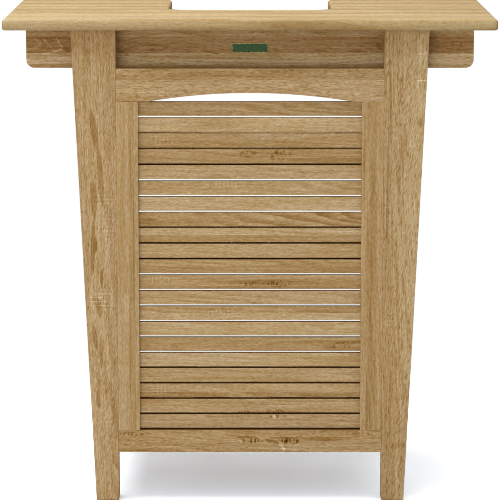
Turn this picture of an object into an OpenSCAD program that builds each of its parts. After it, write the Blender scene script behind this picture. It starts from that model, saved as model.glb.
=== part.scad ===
// Outdoor bar: a U-shaped plank counter on four tapered legs, with a slatted
// front and sides, an arched front rail, and three shelves open to the back.
// Millimetres. +Z is up, the guests stand at -Y, the server stands at +Y.
// The origin is on the floor under the middle of the counter.

/* [Counter] */
// Height of the counter's top above the floor
bar_h = 1072; // [1040:1:1110]
// Width of the counter from side to side
counter_w = 1067; // [1040:1:1140]
// Thickness of the counter planks
plank_t = 24; // [22:1:28]
// Width of one plank, front to back
plank_w = 83; // [80:1:90]
// Open joint between neighbouring planks
plank_gap = 2; // [1:0.5:4]
// Full-length planks in front of the server's cut-out
front_planks = 3; // [3:1:4]
// Short planks in each wing beside the cut-out
wing_planks = 4; // [4:1:5]
// Width of the server's cut-out
notch_w = 364; // [320:1:400]
// Radius of the cut-out's two inner corners
notch_r = 50; // [30:1:70]
// Radius of each wing's rear inner corner
wing_r = 68; // [40:1:75]
// Radius of the counter's outer corners, seen from above
corner_r = 9; // [9:1:16]
// Round-over along the counter's top edges
top_round = 7.5; // [2:0.5:8.5]
// Round-over along the counter's bottom edges
bottom_round = 5; // [1:0.5:7]

/* [Legs] */
// Clear width between the left and right legs
body_w = 582; // [560:1:600]
// Thickness of a leg, front to back
leg_t = 45; // [40:1:50]
// Width of a leg under the counter
leg_top_w = 97.5; // [90:0.5:106]
// Width of a leg at the floor
leg_foot_w = 50; // [44:1:60]
// Set-back of the legs from the counter's front and rear edges
leg_inset = 30; // [24:1:40]
// Rounding of the legs' long edges
leg_ease = 1.5; // [1:0.5:5]
// Chamfer round the foot of each leg
foot_chamfer = 2; // [1:0.5:6]

/* [Apron beams] */
// Length of the beams that carry the counter
beam_l = 975; // [940:1:1010]
// Height of a beam
beam_h = 88; // [80:1:96]
// Thickness of a beam
beam_t = 28; // [24:1:34]
// Radius of a beam's lower outer corners
beam_r = 18; // [8:1:30]
// Height by which the front rail laps up over the beam's lower edge
rail_lap = 3; // [2:1:8]

/* [Front panel] */
// Thickness of the rails and stiles
rail_t = 30; // [28:1:34]
// Height of the arched top rail at its ends
top_rail_h = 72; // [66:1:80]
// Width of the arch in the top rail
arch_w = 448; // [380:1:460]
// Rise of the arch
arch_rise = 19; // [10:1:26]
// Height of the bottom rails
bottom_rail_h = 50; // [46:1:60]
// Clear height under the bottom rails
bottom_rail_z = 110; // [90:1:130]
// Width of the front stiles
stile_w = 47.5; // [45:0.5:56]
// Rounding of the long edges of rails, stiles and battens
rail_ease = 1; // [0.5:0.5:3]

/* [Slats] */
// Slats in the front panel and in each side panel
slat_count = 21; // [19:1:22]
// Open gap under each slat
slat_gap = 3.7; // [3:0.1:6]
// Space between the top rail and the first slat
slat_headroom = 1; // [0.5:0.5:2.5]
// Thickness of a slat
slat_t = 11; // [9:0.5:12]
// Depth of the slats behind the face of the stiles
slat_recess = 11; // [8:0.5:12]
// Depth to which a slat's end is housed in its stile
slat_housing = 8; // [5:0.5:12]
// Rounding of a slat's long edges
slat_ease = 1; // [0.5:0.5:2.5]

/* [Sides] */
// Set-back of the side panels from the legs' inner faces
side_inset = 4; // [2:0.5:8]
// Width of the side stiles, front to back
side_stile_w = 45; // [42:1:55]

/* [Shelves] */
// Height of the upper shelf's top above the floor
upper_shelf_z = 781; // [740:1:820]
// Height of the middle shelf's top above the floor
middle_shelf_z = 561; // [500:1:600]
// Thickness of the shelf boards
shelf_t = 20; // [16:1:24]
// Height of the rails under the upper and middle shelves
shelf_rail_h = 30; // [25:1:36]
// Height of the rails under the bottom shelf
base_rail_h = 50; // [40:1:60]
// Thickness of the shelf rails
shelf_rail_t = 25; // [20:1:30]
// Depth to which a shelf rail's end is housed in the side stile
shelf_housing = 6; // [4:0.5:8]
// Boards in each closed shelf
shelf_boards = 7; // [6:1:8]
// Joint between the boards of a closed shelf
shelf_gap = 1; // [0.5:0.5:3]
// Boards in the open bottom shelf
base_boards = 4; // [3:1:5]
// Width of a board in the open bottom shelf
base_board_w = 80; // [70:1:90]
// Clearance between the shelf boards and what stands round them
shelf_clear = 0.5; // [0.3:0.1:1]
// Rounding of the shelf boards' long edges
shelf_ease = 2; // [0.5:0.5:3]

/* [Battens] */
// Width of the battens under the counter
batten_w = 40; // [30:1:44]
// Height of the battens
batten_h = 30; // [26:1:36]
// Distance of a batten from the cut-out's side or the beam's end
batten_margin = 18; // [12:1:24]

/* [Joints] */
// Length of the tenons on the front and rear rails
rail_tenon_l = 25; // [18:1:30]
// Length of the tenons on the side rails
side_tenon_l = 15; // [10:1:17]
// Length of the tenons on the stiles
stile_tenon_l = 15; // [10:1:20]
// Thickness of every tenon
tenon_t = 10; // [8:1:12]
// Shoulder above and below, or beside, every tenon
shoulder = 10; // [8:1:14]
// Clearance round a tenon or a housed end, each side
joint_clear = 0.2; // [0.1:0.1:0.5]
// Space left beyond the end of a tenon, dowel, bolt or screw
end_clear = 1; // [0.5:0.5:2]

/* [Fasteners] */
// Diameter of the dowels between the counter planks and in the leg tops
dowel_d = 8; // [6:1:10]
// Length of a dowel
dowel_l = 36; // [30:1:40]
// Length by which a leg's dowel stands up into the counter
dowel_rise = 13; // [8:1:16]
// Distance of a leg's dowel from the leg's inner edge
leg_dowel_in = 69; // [62:1:74]
// Distance of the middle dowels from the counter's middle
middle_dowel_x = 91; // [60:1:120]
// Distance of the inner wing dowels from the cut-out's side
wing_dowel_in = 68; // [56:1:80]
// Clearance round a dowel, bolt or screw, each side
pin_clear = 0.1; // [0.05:0.05:0.3]
// Diameter of the bolts that hold the beams to the legs
bolt_d = 8; // [6:1:10]
// Diameter of a bolt's flanged head
bolt_head_d = 20; // [16:1:24]
// Height of a bolt's head
bolt_head_h = 6; // [4:0.5:7]
// Thickness of the flange round a bolt's head
bolt_flange_t = 1.5; // [1:0.5:3]
// Diameter of a bolt's head where it leaves the flange
bolt_button_d = 13; // [11:0.5:15]
// Diameter of a bolt's head at its outer end
bolt_crown_d = 9; // [8:0.5:10]
// Width across the flats of a bolt's hexagon socket
bolt_key = 5; // [4:0.5:6]
// Depth of a bolt's hexagon socket
bolt_key_depth = 3.5; // [2:0.5:4]
// Length by which a bolt enters its leg
bolt_bite = 34; // [24:1:37]
// Distance of the bolts above and below the middle of the beam
bolt_rise = 22; // [16:1:28]
// Diameter of the batten screws' shanks
screw_d = 5; // [4:0.5:6]
// Diameter of a batten screw's head
screw_head_d = 9; // [8:0.5:11]
// Height of a screw's countersunk head
screw_head_h = 3; // [2:0.5:4]
// Length of a batten screw
screw_l = 42; // [38:1:46]
// Length of a screw's point
screw_tip = 5; // [3:0.5:8]

/* [Hidden] */
$fn = 48;
// How far a cutting shape reaches past the face it opens
over = 1;
wood = "#c4a375";
pale_wood = "#cfb186";
dark_wood = "#b08d5f";
steel = "#b9bcc0";

plank_pitch = plank_w + plank_gap;
plank_count = front_planks + wing_planks;
counter_d = plank_count * plank_pitch - plank_gap;
// Front edge of the cut-out, in line with the last front plank
notch_y = front_planks * plank_pitch - plank_gap - counter_d / 2;
counter_z = bar_h - plank_t;

leg_x = body_w / 2;
leg_out_y = counter_d / 2 - leg_inset;
leg_in_y = leg_out_y - leg_t;
leg_mid_y = leg_out_y - leg_t / 2;
leg_lean = atan((leg_top_w - leg_foot_w) / counter_z);

beam_in_y = leg_in_y - beam_t;
beam_z = counter_z - beam_h;
bolt_x = leg_x + leg_top_w / 2;

top_rail_z = beam_z + rail_lap - top_rail_h;
panel_bottom = bottom_rail_z + bottom_rail_h;
panel_h = top_rail_z - panel_bottom;
slat_pitch = panel_h / slat_count;
slat_h = slat_pitch - slat_gap;
// Radius of the circle through the arch's two ends and its crown
arch_r = (pow(arch_w / 2, 2) + pow(arch_rise, 2)) / (2 * arch_rise);
// Facets of that whole circle, where it is drawn with flats
arch_facets = 720;

side_x = leg_x + side_inset;
side_rail_h = beam_z - top_rail_z;
side_stile_y = leg_in_y - side_stile_w;
// The side panels stand with their faces outwards, so the slats lie behind them
side_slat_x = side_x + rail_t - slat_recess - slat_t;

base_rail_z = panel_bottom;
base_shelf_z = base_rail_z + base_rail_h + shelf_t;
shelf_w = 2 * (side_x - shelf_clear);
shelf_l = 2 * (leg_in_y - shelf_clear);
shelf_board_w = (shelf_w - (shelf_boards - 1) * shelf_gap) / shelf_boards;
base_gap = (shelf_w - base_boards * base_board_w) / (base_boards - 1);

batten_l = 2 * beam_in_y;
batten_z = counter_z - batten_h;
inner_batten_x = notch_w / 2 + batten_margin + batten_w / 2;
outer_batten_x = beam_l / 2 - batten_margin - batten_w / 2;
batten_screw_ys = [
    for (i = [0 : plank_count - 1])
        if (abs(plank_y(i) + plank_w / 2) < beam_in_y - screw_head_d) plank_y(i) + plank_w / 2
];

// Places of the edge dowels along a joint, from the middle outwards
wing_dowel_xs = [notch_w / 2 + wing_dowel_in, outer_batten_x];
front_dowel_xs = concat([middle_dowel_x], wing_dowel_xs);
leg_dowel_x = leg_x + leg_dowel_in;

function two_digits(i) = str(i < 10 ? "0" : "", i);
function plank_y(i) = i * plank_pitch - counter_d / 2;
function slat_z(i) = top_rail_z - slat_headroom - (i - 1) * slat_pitch - slat_h;
function side_name(side) = side < 0 ? "left" : "right";
function end_name(end) = end < 0 ? "front" : "rear";

// Section of a square edge that a round-over takes away, the edge at the origin
module round_over_section(r) {
    difference() {
        translate([-r, -r]) square(r + over);
        translate([-r, -r]) circle(r);
    }
}

// Section that a chamfer takes away, the edge at the origin and the wood above right
module chamfer_section(c) {
    polygon([[-over, -over], [c + over, -over], [-over, c + over]]);
}

// Rectangle with rounded corners
module eased_rect(w, h, r) {
    difference() {
        square([w, h]);
        rotate(180) round_over_section(r);
        translate([w, 0]) rotate(270) round_over_section(r);
        translate([w, h]) round_over_section(r);
        translate([0, h]) rotate(90) round_over_section(r);
    }
}

// Straight bars with rounded long edges, from the origin along one axis
module bar_along_x(size, r) {
    rotate([90, 0, 90]) linear_extrude(size.x) eased_rect(size.y, size.z, r);
}

module bar_along_y(size, r) {
    translate([0, size.y, 0]) rotate([90, 0, 0])
        linear_extrude(size.y) eased_rect(size.x, size.z, r);
}

module bar_along_z(size, r) {
    linear_extrude(size.z) eased_rect(size.x, size.y, r);
}

// A box grown by the joint clearance, which a tenon or housed end of that size fits
module socket(size) {
    translate([-joint_clear, -joint_clear, -joint_clear])
        cube([for (s = size) s + 2 * joint_clear]);
}

module mirror_if(on, axis) {
    if (on) mirror(axis) children();
    else children();
}

// What is drawn for the right side and the rear goes to any of the four corners
module at_corner(side, end) {
    mirror_if(side < 0, [1, 0, 0]) mirror_if(end < 0, [0, 1, 0]) children();
}

module at_all_corners() {
    for (side = [-1, 1], end = [-1, 1]) at_corner(side, end) children();
}

// Counter: the U shape seen from above
module cut_out_shape() {
    straight = notch_w / 2 - notch_r;
    translate([-straight, notch_y]) square([2 * straight, counter_d]);
    translate([-notch_w / 2, notch_y + notch_r]) square([notch_w, counter_d]);
    for (side = [-1, 1]) {
        translate([side * straight, notch_y + notch_r]) circle(notch_r);
        mirror_if(side < 0, [1, 0]) translate([notch_w / 2, counter_d / 2 - wing_r]) difference() {
            square([wing_r, wing_r + over]);
            translate([wing_r, 0]) circle(wing_r);
        }
    }
}

module counter_shape() {
    difference() {
        translate([-counter_w / 2, -counter_d / 2]) eased_rect(counter_w, counter_d, corner_r);
        cut_out_shape();
    }
}

// A round-over along a straight edge from one point to another, wood on the left
module straight_round_over(from, to, r) {
    run = to - from;
    translate([from.x, from.y, 0]) rotate(atan2(run.y, run.x)) rotate([90, 0, 90])
        linear_extrude(norm(run)) mirror([1, 0]) round_over_section(r);
}

// A round-over along a quarter circle, with the wood inside the curve or outside it
module curved_round_over(centre, radius, from_angle, r, wood_outside = false) {
    translate([centre.x, centre.y, 0]) rotate(from_angle) rotate_extrude(angle = 90)
        translate([radius, 0]) mirror_if(wood_outside, [1, 0]) round_over_section(r);
}

// The round-over along the whole outline, its top edge at z = 0
module counter_round_over(r) {
    w = counter_w / 2;
    d = counter_d / 2;
    n = notch_w / 2;
    c = corner_r;
    straight_round_over([c - w, -d], [w - c, -d], r);
    straight_round_over([n - notch_r, notch_y], [notch_r - n, notch_y], r);
    for (side = [-1, 1]) mirror_if(side < 0, [1, 0, 0]) {
        curved_round_over([w - c, c - d], c, -90, r);
        straight_round_over([w, c - d], [w, d - c], r);
        curved_round_over([w - c, d - c], c, 0, r);
        straight_round_over([w - c, d], [n + wing_r, d], r);
        curved_round_over([n + wing_r, d - wing_r], wing_r, 90, r);
        straight_round_over([n, d - wing_r], [n, notch_y + notch_r], r);
        curved_round_over([n - notch_r, notch_y + notch_r], notch_r, -90, r, true);
    }
}

module counter_slab() {
    difference() {
        translate([0, 0, counter_z]) linear_extrude(plank_t) counter_shape();
        translate([0, 0, bar_h]) counter_round_over(top_round);
        translate([0, 0, counter_z]) mirror([0, 0, 1]) counter_round_over(bottom_round);
    }
}

// Dowel of the counter, standing on its lower end
module dowel(grow = 0, longer = 0) {
    translate([0, 0, -longer]) cylinder(h = dowel_l + 2 * longer, d = dowel_d + 2 * grow);
}

// Every dowel at its place; the same places cut the holes
module placed_dowels(grow = 0, longer = 0) {
    for (i = [1 : plank_count - 1], side = [-1, 1])
        for (x = i < front_planks ? front_dowel_xs : wing_dowel_xs)
            translate([side * x, plank_y(i) - plank_gap / 2 - dowel_l / 2, counter_z + plank_t / 2])
                rotate([-90, 0, 0]) dowel(grow, longer);
    at_all_corners()
        translate([leg_dowel_x, leg_mid_y, counter_z + dowel_rise - dowel_l]) dowel(grow, longer);
}

module counter_dowels() {
    color(pale_wood) placed_dowels();
}

// Countersunk wood screw, head down, its outer face at z = 0
module screw(grow = 0, longer = 0, opened = 0) {
    head = screw_head_d / 2 + grow;
    shank = screw_d / 2 + grow;
    rotate_extrude() polygon([
        [0, -opened], [head, -opened], [head, 0], [shank, screw_head_h],
        [shank, screw_l + longer - screw_tip], [0, screw_l + longer]
    ]);
}

module placed_screws(grow = 0, longer = 0, opened = 0) {
    for (side = [-1, 1], x = [inner_batten_x, outer_batten_x], y = batten_screw_ys)
        translate([side * x, y, batten_z]) screw(grow, longer, opened);
}

module batten_screws() {
    color(steel) placed_screws();
}

// One plank of the counter, counted from the front, between two places across
module counter_plank(i, x_low, x_high) {
    color(i % 2 == 0 ? wood : pale_wood) difference() {
        intersection() {
            counter_slab();
            translate([x_low, plank_y(i), 0]) cube([x_high - x_low, plank_w, bar_h + over]);
        }
        placed_dowels(pin_clear, end_clear);
        placed_screws(pin_clear, end_clear, over);
    }
}

module front_plank(i) {
    counter_plank(i - 1, -counter_w, counter_w);
}

module wing_plank(side, i) {
    counter_plank(front_planks + i - 1, side < 0 ? -counter_w : 0, side < 0 ? 0 : counter_w);
}

module counter_battens() {
    color(dark_wood) difference() {
        for (side = [-1, 1], x = [inner_batten_x, outer_batten_x])
            translate([side * x - batten_w / 2, -batten_l / 2, batten_z])
                bar_along_y([batten_w, batten_l, batten_h], rail_ease);
        placed_screws(pin_clear, end_clear, over);
    }
}

// Bolt that holds a beam to a leg, its shank along +Z from the head's seat
module bolt(grow = 0, longer = 0, opened = 0) {
    translate([0, 0, -opened])
        cylinder(h = beam_t + bolt_bite + longer + opened, d = bolt_d + 2 * grow);
}

module bolt_head() {
    difference() {
        rotate_extrude() polygon([
            [0, 0], [bolt_head_d / 2, 0],
            [bolt_head_d / 2, -bolt_flange_t], [bolt_button_d / 2, -bolt_flange_t],
            [bolt_crown_d / 2, -bolt_head_h], [0, -bolt_head_h]
        ]);
        translate([0, 0, -bolt_head_h - over])
            cylinder(h = bolt_key_depth + over, d = bolt_key / cos(30), $fn = 6);
    }
}

module at_bolts() {
    for (rise = [-bolt_rise, bolt_rise])
        translate([bolt_x, beam_in_y, beam_z + beam_h / 2 + rise]) rotate([-90, 0, 0]) children();
}

module beam_bolts() {
    color(steel) at_all_corners() at_bolts() {
        bolt();
        bolt_head();
    }
}

// Apron beam: carries the counter across the legs
module apron_beam(end) {
    color(dark_wood) difference() {
        mirror_if(end < 0, [0, 1, 0]) translate([-beam_l / 2, leg_in_y, beam_z]) rotate([90, 0, 0])
            linear_extrude(beam_t) difference() {
                square([beam_l, beam_h]);
                rotate(180) round_over_section(beam_r);
                translate([beam_l, 0]) rotate(270) round_over_section(beam_r);
            }
        for (side = [-1, 1]) at_corner(side, end) at_bolts() bolt(pin_clear, 0, over);
    }
}

// Leg: an upright board cut by a leaning one, each with rounded long edges, so
// that the inner edge is straight and the outer edge leans outwards to the counter
module leg_blank() {
    board_w = 2 * leg_top_w;
    intersection() {
        bar_along_z([board_w, leg_t, counter_z], leg_ease);
        translate([leg_foot_w, 0, 0]) rotate([0, leg_lean, 0]) translate([-board_w, 0, -board_w])
            bar_along_z([board_w, leg_t, bar_h + 2 * board_w], leg_ease);
    }
}

// Chamfers round the foot, along its inner and outer edges, then front and rear
module foot_chamfers() {
    for (outer = [false, true])
        translate([outer ? leg_foot_w : 0, leg_t + over, 0]) rotate([90, 0, 0])
            linear_extrude(leg_t + 2 * over) mirror_if(outer, [1, 0]) chamfer_section(foot_chamfer);
    for (rear = [false, true])
        translate([-over, rear ? leg_t : 0, 0]) rotate([90, 0, 90])
            linear_extrude(leg_top_w) mirror_if(rear, [1, 0]) chamfer_section(foot_chamfer);
}

module leg(side, end) {
    color(wood) difference() {
        at_corner(side, end) difference() {
            translate([leg_x, leg_in_y, 0]) difference() {
                leg_blank();
                foot_chamfers();
            }
            at_bolts() bolt(pin_clear, end_clear);
            translate([leg_dowel_x, leg_mid_y, counter_z + dowel_rise - dowel_l])
                dowel(pin_clear, end_clear);
        }
        for (at = [-1, 1]) mirror_if(at < 0, [1, 0, 0]) {
            rail_tenon(end, panel_bottom - bottom_rail_h, bottom_rail_h, true);
            if (end < 0) rail_tenon(end, top_rail_z, top_rail_h, true);
        }
        side_tenon(side, end, bottom_rail_z, bottom_rail_h, true);
        side_tenon(side, end, top_rail_z, side_rail_h, true);
    }
}

// Tenon on the right end of a front or rear rail, or the mortise that it fits
module rail_tenon(end, z, rail_h, mortise = false) {
    size = [rail_tenon_l + over + (mortise ? end_clear : 0), tenon_t, rail_h - 2 * shoulder];
    mirror_if(end < 0, [0, 1, 0])
        translate([leg_x - over, leg_out_y - rail_t / 2 - tenon_t / 2, z + shoulder])
            if (mortise) socket(size);
            else cube(size);
}

// Tenon on one end of a side rail, or its mortise
module side_tenon(side, end, z, rail_h, mortise = false) {
    size = [tenon_t, side_tenon_l + over + (mortise ? end_clear : 0), rail_h - 2 * shoulder];
    at_corner(side, end)
        translate([side_x + rail_t / 2 - tenon_t / 2, leg_in_y - over, z + shoulder])
            if (mortise) socket(size);
            else cube(size);
}

// Tenons on both ends of a front stile, or the mortises that they fit
module stile_tenons(side, mortise = false) {
    more = mortise ? end_clear : 0;
    size = [stile_w - 2 * shoulder, tenon_t, panel_h + 2 * (stile_tenon_l + more)];
    at_corner(side, -1)
        translate([
            leg_x - stile_w + shoulder,
            leg_out_y - rail_t / 2 - tenon_t / 2,
            panel_bottom - stile_tenon_l - more
        ])
            if (mortise) socket(size);
            else cube(size);
}

module side_stile_tenons(side, end, mortise = false) {
    more = mortise ? end_clear : 0;
    size = [tenon_t, side_stile_w - 2 * shoulder, panel_h + 2 * (stile_tenon_l + more)];
    at_corner(side, end)
        translate([
            side_x + rail_t / 2 - tenon_t / 2,
            side_stile_y + shoulder,
            panel_bottom - stile_tenon_l - more
        ])
            if (mortise) socket(size);
            else cube(size);
}

module cross_rail(end, z, rail_h) {
    mirror_if(end < 0, [0, 1, 0])
        translate([-leg_x, leg_out_y - rail_t, z]) bar_along_x([body_w, rail_t, rail_h], rail_ease);
    for (at = [-1, 1]) mirror_if(at < 0, [1, 0, 0]) rail_tenon(end, z, rail_h);
}

module arched_top_rail() {
    color(wood) difference() {
        cross_rail(-1, top_rail_z, top_rail_h);
        translate([0, -leg_out_y - over, top_rail_z + arch_rise - arch_r]) rotate([-90, 0, 0])
            cylinder(h = rail_t + 2 * over, r = arch_r, $fn = arch_facets);
        for (side = [-1, 1]) stile_tenons(side, true);
    }
}

module bottom_rail(end) {
    color(wood) difference() {
        cross_rail(end, bottom_rail_z, bottom_rail_h);
        if (end < 0) for (side = [-1, 1]) stile_tenons(side, true);
    }
}

// A slat's section, its place behind the face and its length come from the panel
module front_slat_bar(i) {
    length = body_w - 2 * stile_w + 2 * slat_housing;
    translate([-length / 2, -leg_out_y + slat_recess, slat_z(i)])
        bar_along_x([length, slat_t, slat_h], slat_ease);
}

module front_slat(i) {
    color(i % 2 == 0 ? pale_wood : wood) front_slat_bar(i);
}

module stile(side) {
    color(wood) difference() {
        union() {
            at_corner(side, -1) translate([leg_x - stile_w, leg_out_y - rail_t, panel_bottom])
                bar_along_z([stile_w, rail_t, panel_h], rail_ease);
            stile_tenons(side);
        }
        for (i = [1 : slat_count])
            at_corner(side, -1)
                translate([
                    leg_x - stile_w - over,
                    leg_out_y - slat_recess - slat_t,
                    slat_z(i)
                ])
                    socket([slat_housing + over, slat_t, slat_h]);
    }
}

// Side panels: rails and stiles between the legs of one side, slats as in front
module side_rail(side, z, rail_h) {
    color(wood) difference() {
        union() {
            mirror_if(side < 0, [1, 0, 0]) translate([side_x, -leg_in_y, z])
                bar_along_y([rail_t, 2 * leg_in_y, rail_h], rail_ease);
            for (end = [-1, 1]) side_tenon(side, end, z, rail_h);
        }
        for (end = [-1, 1]) side_stile_tenons(side, end, true);
    }
}

module shelf_rail_bar(end, z, rail_h) {
    length = 2 * (side_x + shelf_housing);
    mirror_if(end < 0, [0, 1, 0]) translate([-length / 2, leg_in_y - shelf_rail_t, z])
        bar_along_x([length, shelf_rail_t, rail_h], rail_ease);
}

module shelf_rail_socket(z, rail_h) {
    translate([side_x - over, leg_in_y - shelf_rail_t, z])
        socket([shelf_housing + over, shelf_rail_t, rail_h]);
}

module side_stiles(side) {
    color(wood) for (end = [-1, 1]) difference() {
        union() {
            at_corner(side, end) translate([side_x, side_stile_y, panel_bottom])
                bar_along_z([rail_t, side_stile_w, panel_h], rail_ease);
            side_stile_tenons(side, end);
        }
        at_corner(side, end) {
            for (i = [1 : slat_count])
                translate([side_slat_x, side_stile_y - over, slat_z(i)])
                    socket([slat_t, slat_housing + over, slat_h]);
            shelf_rail_socket(upper_shelf_z - shelf_t - shelf_rail_h, shelf_rail_h);
            shelf_rail_socket(middle_shelf_z - shelf_t - shelf_rail_h, shelf_rail_h);
            shelf_rail_socket(base_rail_z, base_rail_h);
        }
    }
}

module side_slats(side) {
    length = 2 * (side_stile_y + slat_housing);
    for (i = [1 : slat_count])
        color(i % 2 == 0 ? pale_wood : wood) mirror_if(side < 0, [1, 0, 0])
            translate([side_slat_x, -length / 2, slat_z(i)])
                bar_along_y([slat_t, length, slat_h], slat_ease);
}

// Shelves: boards running front to back on a front and a rear rail
module shelf_row(count, board_w, gap, top_z) {
    for (i = [0 : count - 1])
        color(i % 2 == 0 ? wood : pale_wood)
            translate([-shelf_w / 2 + i * (board_w + gap), -shelf_l / 2, top_z - shelf_t])
                bar_along_y([board_w, shelf_l, shelf_t], shelf_ease);
}

module shelf_rails() {
    color(dark_wood) for (end = [-1, 1], top_z = [upper_shelf_z, middle_shelf_z])
        shelf_rail_bar(end, top_z - shelf_t - shelf_rail_h, shelf_rail_h);
}

module bottom_shelf_rails() {
    color(dark_wood) for (end = [-1, 1]) shelf_rail_bar(end, base_rail_z, base_rail_h);
}

for (i = [1 : front_planks])
    front_plank(i);
for (side = [-1, 1], i = [1 : wing_planks])
    wing_plank(side, i);
counter_dowels();
counter_battens();
batten_screws();
apron_beam(-1);  // front_apron_beam
apron_beam(1);  // rear_apron_beam
beam_bolts();
for (end = [-1, 1], side = [-1, 1])
    leg(side, end);
arched_top_rail();
bottom_rail(-1);  // front_bottom_rail
bottom_rail(1);  // rear_bottom_rail
stile(-1);  // left_stile
stile(1);  // right_stile
for (i = [1 : slat_count])
    front_slat(i);
side_rail(-1, top_rail_z, side_rail_h);  // left_side_top_rail
side_rail(1, top_rail_z, side_rail_h);  // right_side_top_rail
side_rail(-1, bottom_rail_z, bottom_rail_h);  // left_side_bottom_rail
side_rail(1, bottom_rail_z, bottom_rail_h);  // right_side_bottom_rail
side_stiles(-1);  // left_side_stiles
side_stiles(1);  // right_side_stiles
side_slats(-1);  // left_side_slats
side_slats(1);  // right_side_slats
shelf_row(shelf_boards, shelf_board_w, shelf_gap, upper_shelf_z);  // upper_shelf_boards
shelf_row(shelf_boards, shelf_board_w, shelf_gap, middle_shelf_z);  // middle_shelf_boards
shelf_row(base_boards, base_board_w, base_gap, base_shelf_z);  // bottom_shelf_boards
shelf_rails();
bottom_shelf_rails();
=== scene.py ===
# Outdoor bar in oiled teak: a plank counter with a server's cut-out, tapered legs,
# a slatted front and sides under an arched rail, and shelves open to the back.
# Metres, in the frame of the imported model: the guests stand at -Y, the floor is z = 0.
import math

import bmesh
import bpy
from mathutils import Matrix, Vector


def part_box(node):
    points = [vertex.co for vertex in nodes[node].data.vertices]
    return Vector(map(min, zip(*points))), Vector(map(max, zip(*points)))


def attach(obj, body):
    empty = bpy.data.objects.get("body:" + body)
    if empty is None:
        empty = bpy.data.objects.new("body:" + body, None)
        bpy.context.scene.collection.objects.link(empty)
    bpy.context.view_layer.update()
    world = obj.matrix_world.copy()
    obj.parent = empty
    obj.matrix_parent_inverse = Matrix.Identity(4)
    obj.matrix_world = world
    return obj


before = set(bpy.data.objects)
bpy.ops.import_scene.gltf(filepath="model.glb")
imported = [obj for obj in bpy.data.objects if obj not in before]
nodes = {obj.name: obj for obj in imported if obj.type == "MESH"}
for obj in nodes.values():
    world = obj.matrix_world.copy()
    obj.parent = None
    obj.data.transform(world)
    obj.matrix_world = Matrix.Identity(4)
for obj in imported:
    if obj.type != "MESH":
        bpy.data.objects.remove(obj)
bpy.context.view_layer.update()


# Legs: four teak boards, the inner edge upright and the outer edge leaning outwards
# to the counter. Each is glued from strips of different tone, planed, oiled, and
# stands on its chamfered foot.
def tone(red, green, blue):
    """A colour as a paint chart gives it, 0 to 255, turned into light."""
    def light(share):
        return share / 12.92 if share <= 0.04045 else ((share + 0.055) / 1.055) ** 2.4
    return (light(red / 255), light(green / 255), light(blue / 255), 1.0)


STRAW = tone(182, 155, 114)
SAND = tone(177, 148, 106)
HONEY = tone(173, 143, 100)
TAN = tone(166, 135, 91)
# Painted shade: the dark brown that faces in gaps, bands beside joints and lower halves are painted towards
PAINTED_SHADE = tone(100, 64, 20)


def add(tree, kind, inputs=None, **settings):
    """A new node with its settings; an input takes a value or another node's socket."""
    made = tree.nodes.new("ShaderNode" + kind)
    for name, value in settings.items():
        setattr(made, name, value)
    for name, value in (inputs or {}).items():
        if isinstance(value, bpy.types.NodeSocket):
            tree.links.new(value, made.inputs[name])
        else:
            made.inputs[name].default_value = value
    return made


def sums(tree, operation, *values):
    """One sum done with numbers or with other nodes' sockets."""
    return add(tree, "Math", dict(enumerate(values)), operation=operation).outputs[0]


def between(tree, value, low, high, to_low=0.0, to_high=1.0):
    """Value from low to high, carried smoothly over to the second range."""
    inputs = {"Value": value, "From Min": low, "From Max": high, "To Min": to_low, "To Max": to_high}
    return add(tree, "MapRange", inputs, interpolation_type="SMOOTHSTEP").outputs["Result"]


def blend(tree, how, share, under, over):
    """One colour laid over another, as far as share says."""
    inputs = {0: share, 6: under, 7: over}
    return add(tree, "Mix", inputs, data_type="RGBA", blend_type=how).outputs[2]


def weighted(tree, *parts):
    """The sum of some values, each times its weight."""
    total = 0.0
    for value, weight in parts:
        total = sums(tree, "MULTIPLY_ADD", value, weight, total)
    return total


def stretched_noise(tree, place, along, across, detail=2.0, roughness=0.5):
    """Noise drawn out along the grain: so many features per metre along and across."""
    scaled = add(tree, "VectorMath", {0: place, 1: (along, across, across)}, operation="MULTIPLY")
    inputs = {"Vector": scaled.outputs[0], "Scale": 1.0, "Detail": detail, "Roughness": roughness}
    return add(tree, "TexNoise", inputs).outputs


def swing(tree, *noise, **settings):
    """The same noise, swinging about zero."""
    return sums(tree, "SUBTRACT", stretched_noise(tree, *noise, **settings)["Fac"], 0.5)


# How far a seed moves the figure, and how far the grain wanders, in metres
SEED_SHIFT = (0.73, 0.19, 0.31)
GRAIN_WANDER = 0.055
RINGS_PER_METRE = 140.0
RING_WOBBLE = 1.6
# The saw's ticks: across which way, how close together and how strong
SAW_TICKS = (("X", 36.0, 1.0), ("Y", 52.0, 0.5))
# The usual value of three features, taken off so that a plain board keeps its tone
LATE_WOOD_MEAN = 0.36
TICKS_MEAN = 0.2
SHADE_MEAN = 0.12
# What one step of shade leaves of each colour, and how much the blush turns it
BROWNING = (("Red", 0.85, 0.0), ("Green", 0.79, 0.25), ("Blue", 0.68, 0.9))
DRY_WOOD, OILED_WOOD = 0.74, 0.62


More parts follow.
